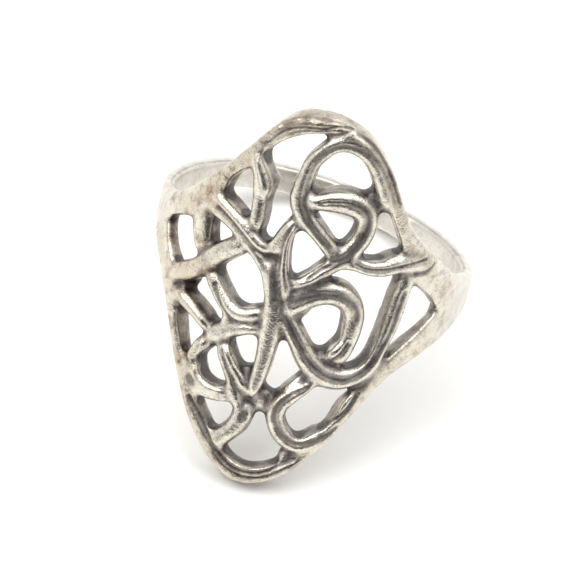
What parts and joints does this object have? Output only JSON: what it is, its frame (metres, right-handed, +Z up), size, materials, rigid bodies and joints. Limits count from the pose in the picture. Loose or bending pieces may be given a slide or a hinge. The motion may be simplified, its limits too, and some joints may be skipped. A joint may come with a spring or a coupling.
{
  "type": "openwork finger ring",
  "caption": "Finger ring with a narrow plain band behind and a long pierced shield of twining rounded strands in front, worn as jewellery.",
  "frame": {"origin": "centre of the bounding box's underside, on the surface that the ring rests on", "axes": "+Z up from the resting surface; the shield faces -Y and leans back towards +Y; the finger's axis lies in the YZ plane; +X is to the right as the shield is seen from its front"},
  "size_m": [0.019, 0.0234, 0.0206],
  "materials": {
    "silver": "polished silver, a little tarnished in the recesses"
  },
  "bodies": {
    "root": {"ring": "silver"}
  },
  "joints": []
}
